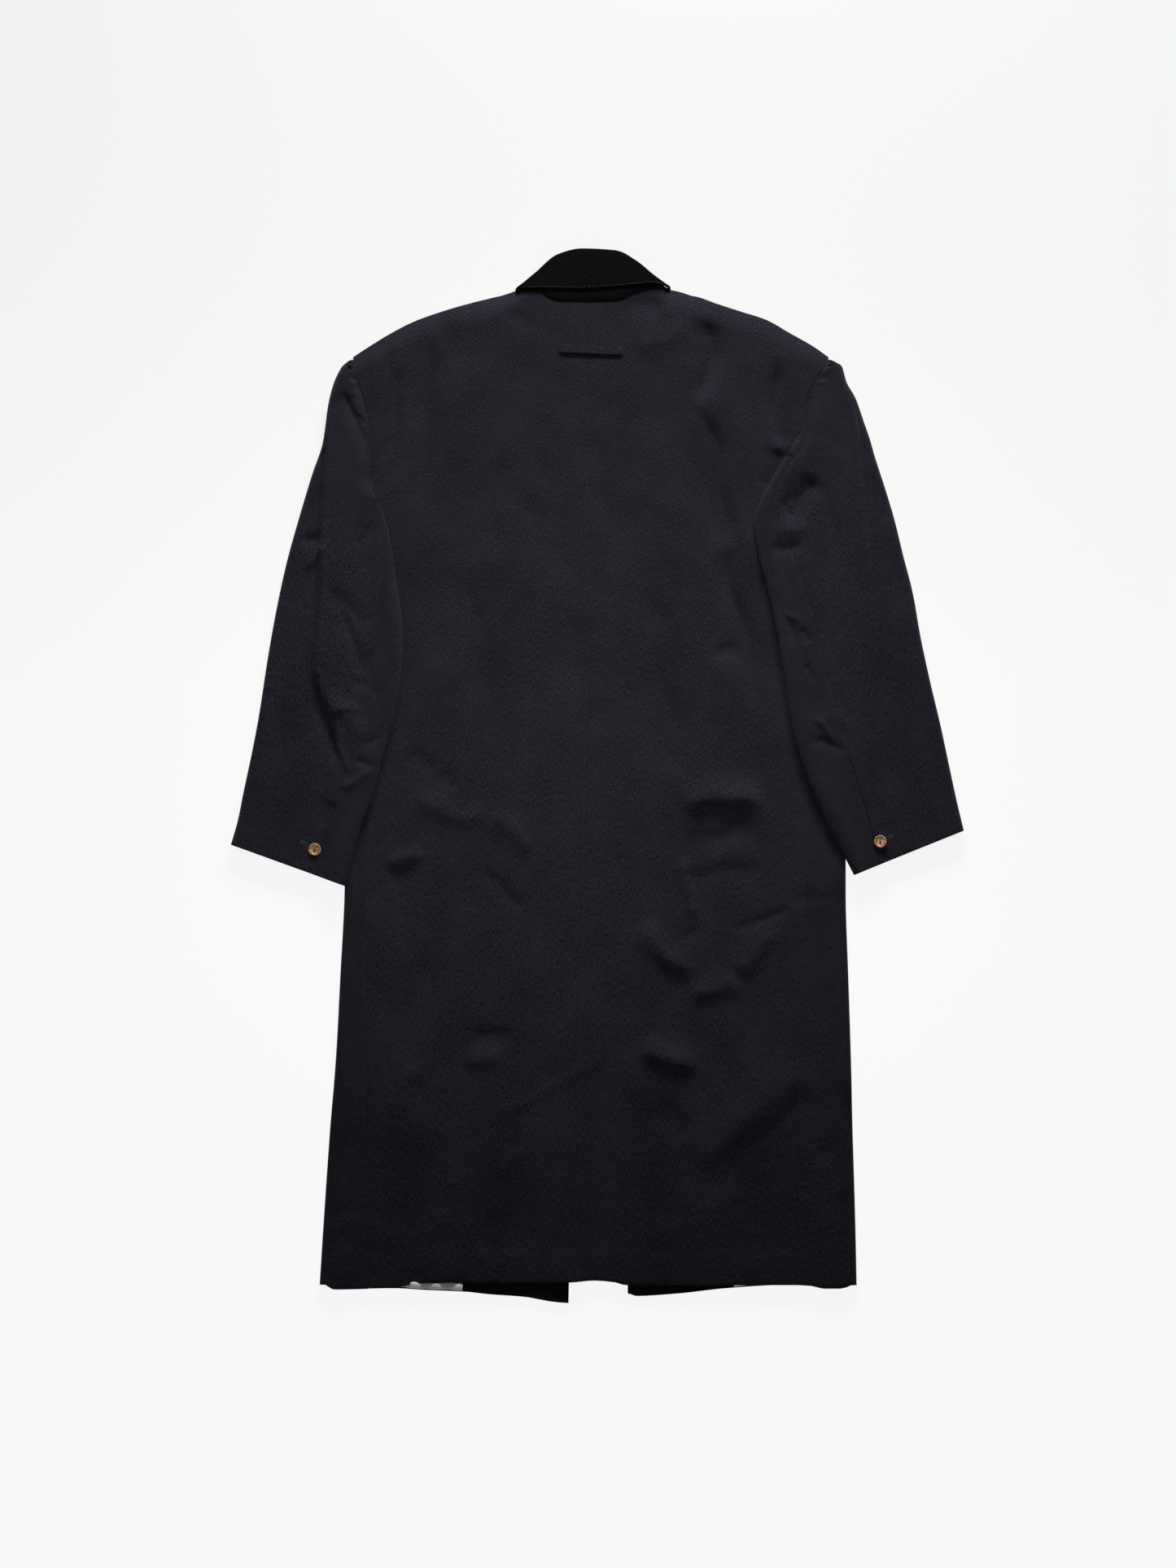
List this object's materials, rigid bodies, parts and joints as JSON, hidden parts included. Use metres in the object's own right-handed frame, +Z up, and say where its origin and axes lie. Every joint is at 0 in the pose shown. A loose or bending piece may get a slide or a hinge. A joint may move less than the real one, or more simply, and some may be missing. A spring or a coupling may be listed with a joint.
{
  "type": "wool overcoat",
  "caption": "Long dark wool overcoat with a black velvet collar, laid flat on its front with its back up, sleeves folded in at the sides, horn button at each cuff",
  "frame": {"origin": "on the floor, below the middle of the coat's bounding box", "axes": "+Y from the hem towards the collar, +Z up, away from the floor that the fronts lie on, +X to the right of someone looking down at the back with the collar away from them"},
  "size_m": [0.838, 1.204, 0.0229],
  "materials": {
    "wool": "matte napped wool",
    "velvet": "black cotton velvet",
    "facing_cloth": "matte black cloth",
    "satin": "silver-grey satin lining",
    "horn": "polished brown horn, slightly marbled"
  },
  "bodies": {
    "root": {"back_left": "wool", "back_right": "wool", "front_left": "wool", "front_right": "wool", "facing_left": "facing_cloth", "facing_right": "facing_cloth", "lining_left": "satin", "lining_right": "satin", "collar_stand": "velvet", "collar_leaf": "velvet", "locker_tab": "wool", "top_sleeve_left": "wool", "top_sleeve_right": "wool", "under_sleeve_left": "wool", "under_sleeve_right": "wool", "cuff_button_left": "horn", "cuff_button_right": "horn"}
  },
  "joints": []
}
